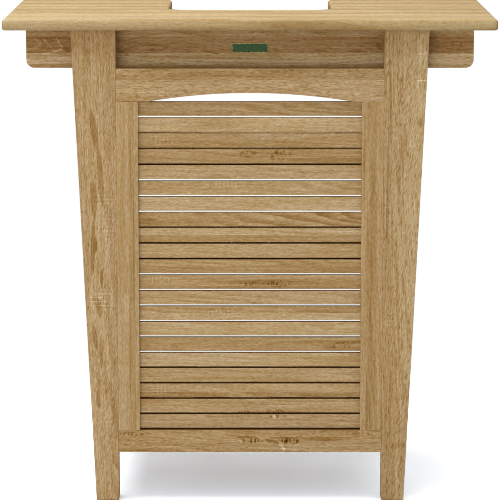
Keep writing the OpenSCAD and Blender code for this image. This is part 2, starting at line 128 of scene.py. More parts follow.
def make_teak():
    """Teak as a solid. Board holds a place in the board: along the grain, across it
    and into it. Each feature adds to one shade, and the shade browns the board's tone."""
    group = bpy.data.node_groups.new("teak", "ShaderNodeTree")
    for name, kind, usual in (
        ("Board", "Vector", None), ("Tone", "Color", HONEY), ("Seed", "Float", 0.0),
        ("Pith", "Vector", None), ("Lean", "Float", 0.0), ("Mark", "Float", 0.0),
        ("Knot", "Float", 0.0), ("Saw", "Float", 0.0), ("Edge", "Float", 0.0), ("Painted shade", "Float", 0.0),
        ("Figure", "Float", 0.6), ("Cloud", "Float", 1.0), ("Fibre", "Float", 1.0),
        ("Pores", "Float", 1.0), ("Veins", "Float", 0.6), ("End grain", "Float", 0.0),
    ):
        socket = group.interface.new_socket(name, in_out="INPUT", socket_type="NodeSocket" + kind)
        if usual is not None:
            socket.default_value = usual
    for name, kind in (("Color", "Color"), ("Roughness", "Float"), ("Height", "Float")):
        group.interface.new_socket(name, in_out="OUTPUT", socket_type="NodeSocket" + kind)
    given = group.nodes.new("NodeGroupInput").outputs
    shift = add(group, "VectorMath", {0: SEED_SHIFT, "Scale": given["Seed"]}, operation="SCALE")
    place = add(group, "VectorMath", {0: given["Board"], 1: shift.outputs[0]}).outputs[0]

    # The grain wanders a little, and the fibres, pores and veins wander with it
    wave = stretched_noise(group, place, 1.7, 9.0, detail=1.0)["Color"]
    bend = add(group, "VectorMath", {0: wave, 1: (0.5, 0.5, 0.5)}, operation="SUBTRACT").outputs[0]
    bend = add(group, "VectorMath", {0: bend, "Scale": GRAIN_WANDER}, operation="SCALE").outputs[0]
    grain = add(group, "VectorMath", {0: place, 1: bend}).outputs[0]
    along = add(group, "SeparateXYZ", {0: given["Board"]}).outputs["X"]
    leaning = add(group, "CombineXYZ", {"Y": sums(group, "MULTIPLY", along, given["Lean"])}).outputs[0]
    leaning = add(group, "VectorMath", {0: grain, 1: leaning}).outputs[0]

    # Growth rings round a distant pith that tilts through the board, so that they
    # come to the face as long arches; Pith holds the tilt and the place across and into
    heart = add(group, "VectorMath", {0: given["Board"], 1: given["Pith"]}, operation="SUBTRACT").outputs[0]
    heart = add(group, "VectorMath", {0: heart, 1: bend}).outputs[0]
    heart = add(group, "SeparateXYZ", {0: heart}).outputs
    tilt = add(group, "SeparateXYZ", {0: given["Pith"]}).outputs["X"]
    deep = weighted(group, (heart["Z"], 1.0), (along, tilt))
    heart = add(group, "CombineXYZ", {"Y": heart["Y"], "Z": deep})
    radius = add(group, "VectorMath", {0: heart.outputs[0]}, operation="LENGTH").outputs["Value"]
    rings = weighted(group, (radius, RINGS_PER_METRE), (swing(group, place, 5.0, 42.0), RING_WOBBLE))
    rings = sums(group, "FRACT", rings)
    late_wood = sums(group, "MULTIPLY", between(group, rings, 0.15, 0.85), between(group, rings, 1.0, 0.88))
    clear = between(group, stretched_noise(group, place, 2.1, 15.0, detail=1.0)["Fac"], 0.40, 0.62, 0.2, 1.0)
    late_wood = sums(group, "MULTIPLY", sums(group, "SUBTRACT", late_wood, LATE_WOOD_MEAN), clear)

    # Long fibres, short dark pores that lean a little, sand-fine speckle and soft clouds
    fibre = swing(group, grain, 5.0, 230.0, detail=3.0, roughness=0.6)
    pores = between(group, stretched_noise(group, leaning, 62.0, 380.0, detail=1.0)["Fac"], 0.55, 0.69)
    speckle = swing(group, leaning, 110.0, 420.0, detail=1.0)
    cloud = swing(group, place, 2.6, 17.0)
    veins = between(group, stretched_noise(group, grain, 2.3, 34.0)["Fac"], 0.55, 0.70)
    curls = stretched_noise(group, place, 210.0, 90.0, detail=1.0)["Fac"]
    curls = sums(group, "MULTIPLY", between(group, curls, 0.46, 0.64, -0.22, 0.8), given["Knot"])

    # The saw's pale ticks across the grain, and fainter ones along it, with breaks
    ticks = 0.0
    for direction, close, strong in SAW_TICKS:
        tick = add(group, "TexWave", {"Vector": given["Board"], "Scale": close, "Distortion": 0.6},
                   wave_type="BANDS", bands_direction=direction).outputs["Fac"]
        ticks = sums(group, "MAXIMUM", ticks, between(group, tick, 0.72, 0.98, 0.0, strong))
    broken = between(group, stretched_noise(group, place, 60.0, 40.0, detail=0.0)["Fac"], 0.30, 0.50)
    teeth = sums(group, "MULTIPLY", sums(group, "SUBTRACT", ticks, TICKS_MEAN), broken)
    teeth = sums(group, "MULTIPLY", teeth, given["Saw"])

    # Each feature darkens the wood by so much, the first six as the board asks
    features = [
        (feature, sums(group, "MULTIPLY", given[name], weight))
        for feature, name, weight in (
            (late_wood, "Figure", 1.6), (cloud, "Cloud", 1.6), (fibre, "Fibre", 4.6),
            (speckle, "Fibre", 5.0), (pores, "Pores", 1.6), (veins, "Veins", 1.2),
        )
    ]
    shade = weighted(
        group, *features, (curls, 3.0), (given["Knot"], 0.5), (given["Mark"], 1.5),
        (teeth, -1.4), (given["Edge"], -1.0), (given["End grain"], 1.4),
    )
    shade = sums(group, "SUBTRACT", shade, SHADE_MEAN)
    blush = swing(group, place, 2.0, 26.0, detail=1.0)
    brown = add(group, "CombineColor", {
        name: sums(group, "POWER", base, weighted(group, (shade, 1.0), (blush, turn)))
        for name, base, turn in BROWNING
    }).outputs[0]
    colour = blend(group, "MULTIPLY", 1.0, given["Tone"], brown)
    # Painted shade: where the board asks for it, the colour is mixed towards a dark brown
    colour = blend(group, "MIX", given["Painted shade"], colour, PAINTED_SHADE)

    height = weighted(group, (fibre, 0.6), (speckle, 0.4), (pores, -0.5), (late_wood, -0.15), (teeth, 0.25))
    out = group.nodes.new("NodeGroupOutput").inputs
    group.links.new(colour, out["Color"])
    group.links.new(between(group, fibre, -0.2, 0.2, DRY_WOOD, OILED_WOOD), out["Roughness"])
    group.links.new(height, out["Height"])
    return group


teak = make_teak()


def strip_ramp(tree, across, strips):
    """Strips glued edge to edge: each a tone and the share of the width where it ends.
    The ramp's alpha differs from strip to strip and moves the figure of each."""
    ramp = add(tree, "ValToRGB", {"Fac": across})
    ramp.color_ramp.interpolation = "CONSTANT"
    stops = ramp.color_ramp.elements
    start = 0.0
    for number, (wood, end) in enumerate(strips):
        stop = stops[0] if number == 0 else stops.new(start)
        stop.position = start
        stop.color = (*wood[:3], (number + 1) / 10)
        start = end
    while len(stops) > len(strips):
        stops.remove(stops[len(stops) - 1])
    return ramp.outputs


# A mark's own distances: 1 is its outline, and NO_MARK is nowhere near one
MARK_FULL, MARK_GONE = 0.65, 1.05
NO_MARK = 9.0
DEEP_MARK = 0.7
# Growth lines round a deep mark, so many to its half width, and the pale rim on it
GROWTH_LINES = 2.2
LINES_FULL, LINES_GONE = 1.4, 3.2
RIM_STARTS, RIM_FULL, RIM_FADES, RIM_GONE = 1.0, 1.12, 1.2, 1.6
RIM_PALE = -0.25


def within(tree, along, across, ragged, marks, contours=0.0):
    """How deep a place lies in any of some marks: each has its middle along and across
    the grain, half its length and width, its lean from the grain, and its depth.
    With contours, a pale rim and a few growth lines run round the deeper ones."""
    deepest = 0.0
    nearest = NO_MARK
    for middle, over, length, width, lean, depth in marks:
        off = sums(tree, "SUBTRACT", along, middle)
        aside = weighted(tree, (across, 1.0), (off, -lean), (1.0, -over))
        step = add(tree, "CombineXYZ", {
            "X": sums(tree, "DIVIDE", off, length), "Y": sums(tree, "DIVIDE", aside, width),
        })
        far = add(tree, "VectorMath", {0: step.outputs[0]}, operation="LENGTH").outputs["Value"]
        far = sums(tree, "ADD", far, ragged)
        deepest = sums(tree, "MAXIMUM", deepest, between(tree, far, MARK_GONE, MARK_FULL, 0.0, depth))
        if depth > DEEP_MARK:
            nearest = sums(tree, "MINIMUM", nearest, far)
    if not contours or nearest == NO_MARK:
        return deepest
    line = sums(tree, "PINGPONG", sums(tree, "MULTIPLY", nearest, GROWTH_LINES), 1.0)
    line = sums(tree, "MULTIPLY", between(tree, line, 0.7, 1.0),
                between(tree, nearest, LINES_GONE, LINES_FULL))
    rim = sums(tree, "MULTIPLY", between(tree, nearest, RIM_STARTS, RIM_FULL),
               between(tree, nearest, RIM_GONE, RIM_FADES))
    return weighted(tree, (deepest, 1.0), (line, contours), (rim, RIM_PALE))


def new_finish(name):
    """A new material, its node tree and its skin."""
    made = bpy.data.materials.new(name)
    made.use_nodes = True
    return made, made.node_tree, made.node_tree.nodes["Principled BSDF"]


# Bands beside a long arris and beside a joint, and the height of the grain, in metres
ARRIS_BAND = 0.003
JOINT_BAND = 0.006
GRAIN_HEIGHT = 0.0008
GRAIN_STRENGTH = 0.35
# How squarely a face turns to an end, a side or the top to count as one
END_FACING = (0.55, 0.8)
SIDE_FACING = (0.45, 0.9)
TOP_FACING = (0.94, 0.99)
# Painted shade in the lower half starts so many metres above the middle, and is full at
# this share of the half thickness below it
LOW_STARTS, LOW_FULL = 0.004, -0.75
# How much paler the long arrises are painted: a painted highlight
ARRIS_HIGHLIGHT = 0.3
RAGGED_EDGE = 1.5
GROWTH_LINES_DARK = 0.2
# How far the figure moves from one glued strip to the next, and from board to board
STRIP_STEP = 47.0
BOARD_STEP = 3.7


def teak_board(name, grain, low, high, strips, seed, row=None, mixed=None,
               marks=(), pales=(), knots=(), saws=(), pith=(0.03, 0.04, 0.06),
               dark_sides=0.0, dark_band=0.0, dark_low=0.0, gloss=0.08, **looks):
    """The finish of one board, or of a row of like boards on one node.
    grain names the axes along the grain, across it and into the board, as in "zxy".
    row is (first edge, pitch, width) of the boards across the grain, and mixed is a
    tone that they share in by chance. Dark marks, pale ones, knots and the saw's
    patches are given as within() takes them. The dark ones of sides, band and low are
    painted shade on the long sides in a gap, beside a joint on top, and in the lower half.
    looks sets how strong the figure, cloud, fibre, pores and veins are, and the lean."""
    made, tree, skin = new_finish(name)
    order = ["xyz".index(letter) for letter in grain]
    spot = add(tree, "TexCoord").outputs
    axes = add(tree, "SeparateXYZ", {0: spot["Object"]}).outputs
    middle = [(low[i] + high[i]) / 2 for i in order]
    half = [(high[i] - low[i]) / 2 for i in order]
    along, across, into = (sums(tree, "SUBTRACT", axes[i], m) for i, m in zip(order, middle))
    number = 0.0
    if row:
        first, pitch, width = row
        steps = sums(tree, "DIVIDE", sums(tree, "SUBTRACT", axes[order[1]], first), pitch)
        number = sums(tree, "FLOOR", sums(tree, "ADD", steps, 0.5 * (pitch - width) / pitch))
        across = sums(tree, "SUBTRACT", sums(tree, "SUBTRACT", axes[order[1]], first + width / 2),
                      sums(tree, "MULTIPLY", number, pitch))
        half[1] = width / 2
    share = sums(tree, "ADD", sums(tree, "DIVIDE", across, 2 * half[1]), 0.5)
    wood = strip_ramp(tree, share, strips)
    colour = wood["Color"]
    if mixed:
        chance = add(tree, "TexWhiteNoise", {"W": sums(tree, "ADD", number, seed)}, noise_dimensions="1D")
        colour = blend(tree, "MIX", chance.outputs["Value"], colour, mixed)
    place = add(tree, "CombineXYZ", {"X": along, "Y": across, "Z": into}).outputs[0]
    ragged = sums(tree, "MULTIPLY", swing(tree, place, 9.0, 60.0), RAGGED_EDGE)

    # The long arrises painted paler, a painted highlight; faces in a gap painted darker, painted shade
    arris = sums(tree, "MULTIPLY",
                 between(tree, sums(tree, "ABSOLUTE", across), half[1] - ARRIS_BAND, half[1]),
                 between(tree, sums(tree, "ABSOLUTE", into), half[2] - ARRIS_BAND, half[2]))
    facing = add(tree, "SeparateXYZ", {0: spot["Normal"]}).outputs
    ends = between(tree, sums(tree, "ABSOLUTE", facing[order[0]]), *END_FACING)
    painted_shade = 0.0
    # Painted shade on the faces of the long sides, where they sit in a gap
    if dark_sides:
        painted_shade = between(tree, sums(tree, "ABSOLUTE", facing[order[1]]), *SIDE_FACING, 0.0, dark_sides)
    # Painted shade on the top face, in a band beside each joint
    if dark_band:
        aside = sums(tree, "ABSOLUTE", across)
        joint = between(tree, aside, half[1] - JOINT_BAND, half[1], 0.0, dark_band)
        painted_shade = sums(tree, "MULTIPLY", joint, between(tree, facing[order[2]], *TOP_FACING))
    # Painted shade, darker towards the board's lower face
    if dark_low:
        low_shade = between(tree, into, LOW_STARTS, LOW_FULL * half[2], 0.0, dark_low)
        painted_shade = sums(tree, "MAXIMUM", painted_shade, low_shade)
    dark = within(tree, along, across, ragged, marks, contours=GROWTH_LINES_DARK)
    figure = add(tree, "Group", {
        "Board": place, "Tone": colour, "Pith": pith, "End grain": ends, "Painted shade": painted_shade,
        "Seed": weighted(tree, (wood["Alpha"], STRIP_STEP), (number, BOARD_STEP), (1.0, seed)),
        "Mark": sums(tree, "SUBTRACT", dark, within(tree, along, across, 0.0, pales)),
        "Knot": within(tree, along, across, 0.0, knots),
        "Saw": within(tree, along, across, ragged, saws),
        "Edge": sums(tree, "MULTIPLY", arris, ARRIS_HIGHLIGHT),
        **{look.capitalize(): amount for look, amount in looks.items()},
    }, node_tree=teak).outputs
    tree.links.new(figure["Color"], skin.inputs["Base Color"])
    tree.links.new(figure["Roughness"], skin.inputs["Roughness"])
    rough = {"Height": figure["Height"], "Strength": GRAIN_STRENGTH, "Distance": GRAIN_HEIGHT}
    tree.links.new(add(tree, "Bump", rough).outputs[0], skin.inputs["Normal"])
    skin.inputs["Specular IOR Level"].default_value = gloss
    return made


def dress(node, material):
    """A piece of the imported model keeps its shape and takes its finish."""
    slots = nodes[node].data.materials
    slots.clear()
    slots.append(material)


def board(node, grain, strips, seed, **looks):
    """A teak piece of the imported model, finished within its own box."""
    low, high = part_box(node)
    dress(node, teak_board(node + "_teak", grain, low, high, strips, seed, **looks))


board(
    "front_left_leg", "zxy", ((HONEY, 0.36), (SAND, 0.70), (HONEY, 1.0)), 1.3,
    lean=-0.15, veins=0.5, fibre=0.85,
    marks=(
        # The first mark is a painted shadow: the top of the leg darker under the counter's overhang
        (0.520, 0.000, 0.070, 0.080, 0.0, 0.5), (0.475, -0.009, 0.043, 0.003, 0.0, 0.7),
        (0.362, 0.006, 0.028, 0.0035, -0.16, 0.9), (0.303, 0.002, 0.053, 0.008, -0.17, 1.2),
        (0.290, 0.003, 0.020, 0.005, -0.17, 1.6), (0.213, 0.013, 0.079, 0.006, -0.07, 1.1),
        (0.152, -0.001, 0.044, 0.007, 0.0, 1.2), (0.056, 0.016, 0.062, 0.002, 0.0, 0.7),
        (0.053, 0.001, 0.020, 0.0065, 0.0, 1.9), (0.047, -0.004, 0.064, 0.005, 0.02, 1.5),
        (-0.021, 0.014, 0.027, 0.004, 0.0, 1.3), (-0.082, 0.006, 0.031, 0.011, -0.25, 1.1),
        (-0.160, -0.001, 0.031, 0.006, -0.1, 1.1), (-0.196, 0.012, 0.045, 0.005, 0.0, 1.0),
        (-0.296, 0.005, 0.025, 0.006, -0.1, 1.3),
    ),
    saws=(
        (0.154, 0.026, 0.014, 0.026, 0.0, 0.8), (0.090, 0.027, 0.032, 0.022, 0.0, 0.9),
        (-0.071, 0.016, 0.028, 0.034, 0.0, 1.4), (-0.142, 0.030, 0.020, 0.018, 0.0, 0.5),
        (-0.341, 0.014, 0.020, 0.016, 0.0, 0.5),
    ),
)
board(
    "front_right_leg", "zxy", ((HONEY, 0.22), (SAND, 0.42), (STRAW, 1.0)), 2.9,
    lean=-0.12, veins=0.4, pores=1.3, cloud=0.6, fibre=0.8,
    marks=(
        # The first mark is a painted shadow: the top of the leg darker under the counter's overhang
        (0.520, 0.000, 0.070, 0.080, 0.0, 0.4), (0.349, -0.034, 0.098, 0.004, -0.02, 0.6),
        (0.393, -0.013, 0.065, 0.004, 0.1, 0.6), (0.152, -0.039, 0.132, 0.004, 0.0, 0.6),
        (0.240, -0.009, 0.088, 0.007, 0.1, 0.5),
    ),
    pales=(
        # The first pale mark lightens the top of the outer strip, where that painted shadow is weaker
        (0.480, 0.036, 0.045, 0.016, 0.0, 0.35), (0.413, 0.032, 0.0020, 0.013, 0.0, 1.5),
        (0.471, 0.031, 0.0018, 0.011, 0.0, 1.3), (0.407, 0.024, 0.012, 0.0016, 0.0, 0.9),
        (0.419, 0.030, 0.009, 0.0014, 0.0, 0.7),
    ),
    saws=((0.143, -0.039, 0.012, 0.011, 0.0, 0.8), (-0.115, -0.035, 0.020, 0.011, 0.0, 0.9)),
)
board("rear_left_leg", "zxy", ((SAND, 0.5), (HONEY, 1.0)), 4.1, lean=-0.1)
board("rear_right_leg", "zxy", ((STRAW, 0.4), (SAND, 1.0)), 5.7, lean=0.1)


# Front and rear rails: teak rails tenoned into the legs. The front one under the beam
# is cut to a shallow arch, and the two bottom rails are straight.
# How dark the faces in a gap are painted, as painted shade
GAP_SHADE = 0.85
board(
    "arched_top_rail", "xzy", ((SAND, 0.66), (TAN, 1.0)), 7.3, veins=0.7, fibre=0.85, cloud=0.6,
    marks=((-0.255, -0.035, 0.040, 0.002, 0.0, 1.0), (0.06, 0.020, 0.20, 0.003, 0.0, 0.5)),
    saws=((-0.21, -0.012, 0.05, 0.010, 0.0, 0.4),),
)
board(
    "front_bottom_rail", "xzy", ((HONEY, 1.0),), 8.1, veins=0.9, cloud=1.2, figure=0.9, fibre=0.85,
    dark_sides=GAP_SHADE, gloss=0.0,
    knots=(
        (0.007, 0.0022, 0.019, 0.0070, 0.10, 2.0), (0.089, 0.0010, 0.022, 0.0088, 0.0, 2.1),
        (-0.262, 0.0160, 0.034, 0.0060, 0.0, 1.1), (0.245, 0.0160, 0.030, 0.0060, 0.0, 0.7),
    ),
    marks=(
        (-0.009, 0.0092, 0.034, 0.0028, 0.0, 1.7), (0.075, 0.0079, 0.042, 0.0032, 0.0, 2.0),
        (0.160, 0.0047, 0.064, 0.0050, -0.04, 1.1), (-0.014, 0.0026, 0.005, 0.0065, -0.30, 1.9),
        (0.049, 0.0004, 0.022, 0.0048, -0.28, 1.7), (0.082, 0.0010, 0.006, 0.0080, 0.30, 1.8),
        (0.060, -0.0020, 0.090, 0.0110, 0.0, 0.3), (0.010, 0.0015, 0.024, 0.0070, 0.05, 0.6),
        (0.086, 0.0010, 0.030, 0.0080, 0.0, 0.65), (0.165, 0.0080, 0.090, 0.0022, 0.0, 0.9),
        (0.150, 0.0052, 0.060, 0.0012, 0.0, 0.8),
    ),
    pales=(
        (0.073, -0.0144, 0.005, 0.0070, -1.50, 1.1), (0.066, -0.0060, 0.003, 0.0050, -1.20, 0.9),
        (-0.022, 0.0010, 0.003, 0.0050, -1.00, 0.9), (0.104, -0.0100, 0.010, 0.0035, 0.30, 0.9),
    ),
)
board("rear_bottom_rail", "xzy", ((HONEY, 1.0),), 9.7)


# Front stiles: two upright teak boards, tenoned into the rails above and below. Their
# inner edges are cut with the housings that hold the slats' ends.
board(
    "left_stile", "zxy", ((SAND, 0.55), (TAN, 0.8), (HONEY, 1.0)), 11.2,
    figure=0.3, pores=0.3, fibre=0.7, cloud=0.6, gloss=0.0,
    marks=(
        (0.227, 0.007, 0.110, 0.0026, 0.0, 0.7), (0.039, 0.013, 0.133, 0.0026, 0.0, 0.6),
        (-0.184, 0.003, 0.135, 0.0033, 0.0, 0.6), (-0.297, 0.014, 0.091, 0.0022, 0.0, 0.5),
    ),
)
board(
    "right_stile", "zxy", ((HONEY, 0.25), (TAN, 0.7), (HONEY, 1.0)), 12.6,
    figure=0.3, pores=0.4, fibre=0.7, cloud=0.6, gloss=0.0,
    marks=(
        (0.238, -0.018, 0.121, 0.0035, 0.0, 0.7), (-0.072, -0.002, 0.156, 0.0033, 0.0, 0.4),
        (-0.297, -0.009, 0.113, 0.0035, 0.0, 0.5),
    ),
    saws=((-0.209, 0.013, 0.020, 0.009, 0.0, 0.9),),
)


# Front slats: 21 thin boards housed in the stiles with narrow gaps between them,
# sorted as they came, some glued up from two strips of different tone.

# The strips of each slat from the top one down; the rest goes by a slat's number
SLAT_STRIPS = (
    ((TAN, 1.0),), ((STRAW, 1.0),), ((TAN, 0.5), (HONEY, 1.0)), ((TAN, 0.4), (HONEY, 1.0)),
    ((SAND, 1.0),), ((SAND, 1.0),), ((STRAW, 1.0),), ((TAN, 1.0),), ((TAN, 0.5), (STRAW, 1.0)),
    ((SAND, 1.0),), ((TAN, 0.5), (HONEY, 1.0)), ((TAN, 0.2), (HONEY, 1.0)), ((SAND, 1.0),),
    ((STRAW, 0.5), (HONEY, 1.0)), ((STRAW, 1.0),), ((TAN, 1.0),), ((STRAW, 1.0),),
    ((SAND, 0.45), (HONEY, 1.0)), ((TAN, 0.4), (SAND, 1.0)), ((HONEY, 1.0),), ((SAND, 1.0),),
)
SLAT_KNOTS = {
    4: ((-0.003, 0.004, 0.024, 0.009, 0.0, 1.0), (0.062, 0.003, 0.030, 0.012, 0.0, 1.2)),
    12: ((-0.003, -0.004, 0.024, 0.007, 0.0, 1.0), (0.060, -0.004, 0.034, 0.009, 0.0, 1.2)),
    16: ((0.205, -0.002, 0.028, 0.009, 0.1, 0.7),),
    20: ((-0.004, -0.0130, 0.024, 0.0040, 0.0, 1.2), (0.055, -0.0125, 0.024, 0.0048, 0.0, 1.3)),
    21: ((0.060, 0.0110, 0.024, 0.0048, 0.0, 1.1),),
}
SLAT_MARKS = {
    4: ((0.085, 0.007, 0.060, 0.002, 0.0, 0.7), (0.020, 0.003, 0.070, 0.009, 0.0, 0.4),
        (0.000, 0.005, 0.026, 0.005, 0.0, 0.65), (0.062, 0.004, 0.034, 0.007, 0.0, 0.65)),
    5: ((-0.070, -0.012, 0.036, 0.003, 0.0, 0.7),),
    8: ((-0.225, 0.000, 0.024, 0.004, 0.0, 0.75), (0.215, 0.000, 0.024, 0.004, 0.0, 0.75)),
    12: ((0.020, 0.000, 0.090, 0.006, 0.0, 0.6), (0.090, 0.001, 0.060, 0.002, 0.0, 0.7),
         (0.022, -0.002, 0.060, 0.005, 0.0, 0.65)),
    14: ((-0.060, 0.010, 0.050, 0.003, 0.0, 0.6),),
    16: ((0.195, 0.0, 0.045, 0.008, 0.15, 0.6),),
    20: ((0.045, -0.0140, 0.080, 0.0022, 0.0, 0.8),),
}
SLAT_FIGURE = {
    8: {"figure": 1.5, "pith": (0.09, 0.002, 0.030)},
    16: {"figure": 1.3, "pith": (0.06, -0.01, 0.035)},
}
SLAT_SAWS = {
    3: ((-0.195, 0.0, 0.028, 0.012, 0.0, 1.0),), 6: ((-0.060, 0.006, 0.045, 0.009, 0.0, 0.9),),
    12: ((-0.195, 0.004, 0.028, 0.010, 0.0, 0.9),), 19: ((-0.195, 0.0, 0.028, 0.012, 0.0, 0.9),),
    14: ((-0.066, 0.002, 0.042, 0.011, 0.0, 1.0), (0.066, 0.0, 0.020, 0.010, 0.0, 0.7)),
}
SLAT_PALES = {
    21: ((0.054, 0.0085, 0.0026, 0.0055, -1.3, 1.2), (0.064, 0.0070, 0.0020, 0.0040, 0.9, 0.8)),
}
# Slats whose faces in the gaps are painted with less shade than the others
SLAT_GAP_SHADE = {1: 0.1, 2: 0.1, 3: 0.0, 4: 0.0, 7: 0.6, 8: 0.4, 9: 0.2, 10: 0.5}
for number, strips in enumerate(SLAT_STRIPS, start=1):
    board(
        f"front_slat_{number:02d}", "xzy", strips, 20 + 1.9 * number,
        pores=0.5, fibre=0.75, gloss=0.0, dark_sides=SLAT_GAP_SHADE.get(number, GAP_SHADE),
        knots=SLAT_KNOTS.get(number, ()), marks=SLAT_MARKS.get(number, ()),
        saws=SLAT_SAWS.get(number, ()), pales=SLAT_PALES.get(number, ()),
        **SLAT_FIGURE.get(number, {}),
    )


# Side panels: a top and a bottom rail, two stiles and 21 slats on each side, made
# and joined as the front is. The slats lie between the legs in the same rows.
slat_low, slat_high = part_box("front_slat_21")
slat_width = slat_high.z - slat_low.z
slat_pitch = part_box("front_slat_20")[0].z - slat_low.z
for number, side in enumerate(("left", "right")):
    board(f"{side}_side_top_rail", "yzx", ((SAND, 0.5), (HONEY, 1.0)), 71.0 + number)
    board(f"{side}_side_bottom_rail", "yzx", ((HONEY, 1.0),), 73.0 + number)
    board(f"{side}_side_stiles", "zyx", ((SAND, 1.0),), 75.0 + number)
    board(
        f"{side}_side_slats", "yzx", ((TAN, 1.0),), 77.0 + number,
        row=(slat_low.z, slat_pitch, slat_width), mixed=STRAW,
        pores=0.5, fibre=0.75, dark_sides=GAP_SHADE, gloss=0.06,
    )


# Shelves: closed upper and middle shelves of seven boards each, and an open bottom
# shelf of four, laid front to back on rails. Two screws hold each end of a board, each
# sunk under a teak plug that stands a hair proud of the face.
def shelf_row(node, count):
    """First edge, pitch and width of the boards in one shelf, from their undersides."""
    low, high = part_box(node)
    edges = sorted({round(v.co.x, 5) for v in nodes[node].data.vertices if v.co.z < low.z + 1e-5})

    # A board is as wide as the flat of its underside and its two eased edges
    width = (edges[1] - edges[0]) + 2 * (edges[0] - low.x)
    pitch = (high.x - low.x - width) / (count - 1)
    return low.x, pitch, width


def put(name, data):
    """A new object in the scene, holding a mesh, a lamp or the camera."""
    made = bpy.data.objects.new(name, data)
    bpy.context.scene.collection.objects.link(made)
    return made


def new_piece(name, mesh, material):
    """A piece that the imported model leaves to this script; it rides with the bar."""
    mesh.normal_update()
    data = bpy.data.meshes.new(name)
    mesh.to_mesh(data)
    mesh.free()
    data.materials.append(material)
    made = put(name, data)
    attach(made, "root")
    return made


PLUG_RADIUS, PLUG_PROUD, PLUG_SEAT = 0.0045, 0.0003, 0.0006
# Each ring of a plug, from its middle out: a share of the radius, and its height
PLUG_RINGS = (
    (0.45, PLUG_PROUD), (0.86, PLUG_PROUD), (0.96, 0.7 * PLUG_PROUD), (1.0, 0.0), (1.0, -PLUG_SEAT),
)
PLUG_SPOKES = 28
# In from the board's end, in metres, and aside from its middle, as a share of its width
PLUG_IN, PLUG_ASIDE = 0.013, 0.25


def plug(mesh, x, y, z):
    """One round plug in a face at z, with its rim eased."""
    inner = [mesh.verts.new((x, y, z + PLUG_PROUD))]
    for share, height in PLUG_RINGS:
        reach = share * PLUG_RADIUS
        ring = []
        for spoke in range(PLUG_SPOKES):
            angle = math.tau * spoke / PLUG_SPOKES
            round_x, round_y = reach * math.cos(angle), reach * math.sin(angle)
            ring.append(mesh.verts.new((x + round_x, y + round_y, z + height)))
        for spoke in range(PLUG_SPOKES):
            after = (spoke + 1) % PLUG_SPOKES
            if len(inner) == 1:
                mesh.faces.new((inner[0], ring[spoke], ring[after]))
            else:
                mesh.faces.new((inner[spoke], ring[spoke], ring[after], inner[after]))
        inner = ring
    mesh.faces.new(list(reversed(inner)))


AMBER = tone(186, 146, 92)
CHESTNUT = tone(120, 82, 46)
for number, (shelf, count) in enumerate((("upper_shelf", 7), ("middle_shelf", 7), ("bottom_shelf", 4))):
    boards = shelf + "_boards"
    low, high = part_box(boards)
    first, pitch, width = shelf_row(boards, count)
    board(boards, "yxz", ((AMBER, 1.0),), 81.0 + number, row=(first, pitch, width), mixed=SAND, gloss=0.0)
    plugs = bmesh.new()
    for place in range(count):
        for side in (-1, 1):
            x = first + place * pitch + width * (0.5 + side * PLUG_ASIDE)
            for y in (low.y + PLUG_IN, high.y - PLUG_IN):
                plug(plugs, x, y, high.z)
    plug_teak = teak_board(
        shelf + "_plug_teak", "yxz", low, high, ((CHESTNUT, 1.0),), 88.0 + number,
        row=(first, pitch / 2, pitch / 2), mixed=AMBER, gloss=0.06,
    )
    new_piece(shelf + "_plugs", plugs, plug_teak)
board("shelf_rails", "xzy", ((CHESTNUT, 1.0),), 85.0, gloss=0.0)
board("bottom_shelf_rails", "xzy", ((CHESTNUT, 1.0),), 86.0, gloss=0.0)


